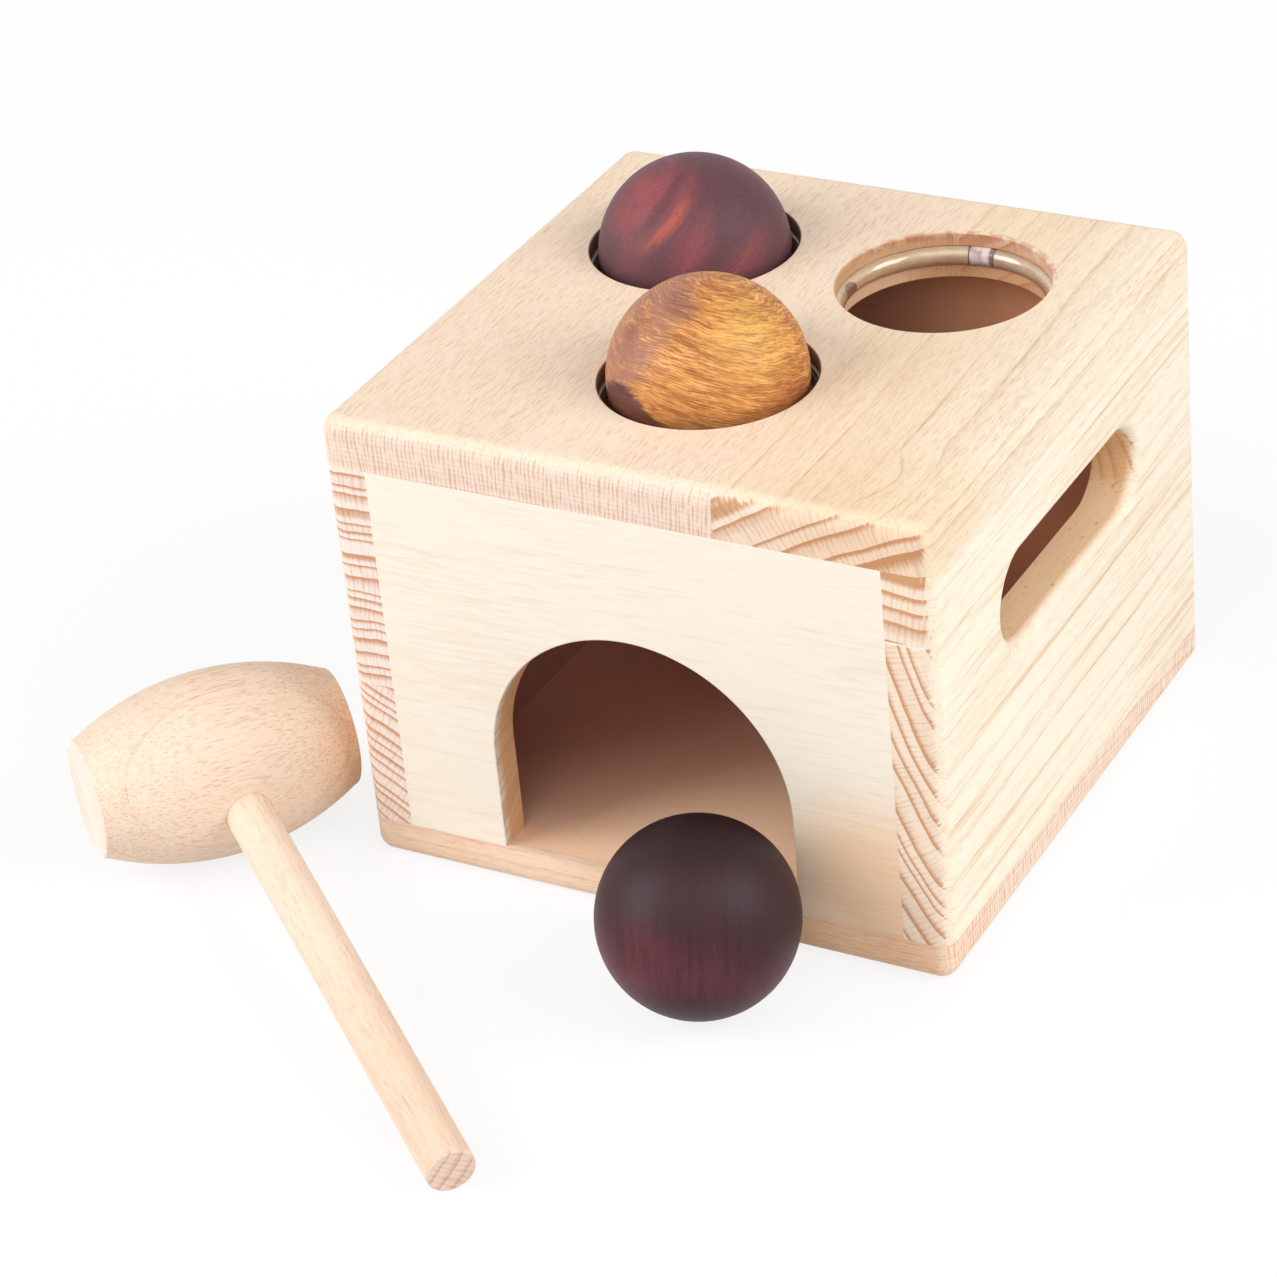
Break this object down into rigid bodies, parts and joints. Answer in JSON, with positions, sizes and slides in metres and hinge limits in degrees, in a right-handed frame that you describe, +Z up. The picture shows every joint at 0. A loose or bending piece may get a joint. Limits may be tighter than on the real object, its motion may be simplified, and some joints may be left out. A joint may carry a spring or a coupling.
{
  "type": "ball pounding bench",
  "caption": "Wooden box with round holes in its top, each with a clear elastic ring that grips a ball, an arch in front, hand holds in the sides, loose balls and a turned mallet.",
  "frame": {"origin": "centre of the box's underside, on the surface it stands on", "axes": "+X to the right seen from the arch, +Y from the arch to the closed back, +Z up"},
  "size_m": [0.2121, 0.2514, 0.137],
  "materials": {
    "beech": "satin",
    "pale_beech": "satin",
    "clear_tube": "clear",
    "clear_joiner": "translucent",
    "red_wood": "polished",
    "golden_wood": "polished",
    "purple_wood": "satin"
  },
  "bodies": {
    "box": {"base_board": "beech", "left_side": "beech", "right_side": "beech", "top_board": "beech", "front_panel": "pale_beech", "back_panel": "pale_beech", "ring_back_left": "clear_tube", "ring_back_right": "clear_tube", "ring_front": "clear_tube", "joiner_back_left": "clear_joiner", "joiner_back_right": "clear_joiner", "joiner_front": "clear_joiner"},
    "red_ball": {"ball_red": "red_wood"},
    "golden_ball": {"ball_golden": "golden_wood"},
    "purple_ball": {"ball_purple": "purple_wood"},
    "mallet": {"mallet_head": "beech", "mallet_handle": "pale_beech"}
  },
  "joints": [
    {"name": "red_ball_drop", "type": "slide", "parent": "box", "child": "red_ball", "axis": [0, 0, 1], "range_m": [-0.08, 0.028]},
    {"name": "golden_ball_drop", "type": "slide", "parent": "box", "child": "golden_ball", "axis": [0, 0, 1], "range_m": [-0.0819, 0.028]},
    {"name": "purple_ball_roll", "type": "slide", "parent": "box", "child": "purple_ball", "axis": [0.5, -0.866, 0], "range_m": [-0.0015, 0.12]},
    {"name": "mallet_lift", "type": "slide", "parent": "box", "child": "mallet", "axis": [0, 0, 1], "range_m": [0, 0.15]}
  ]
}
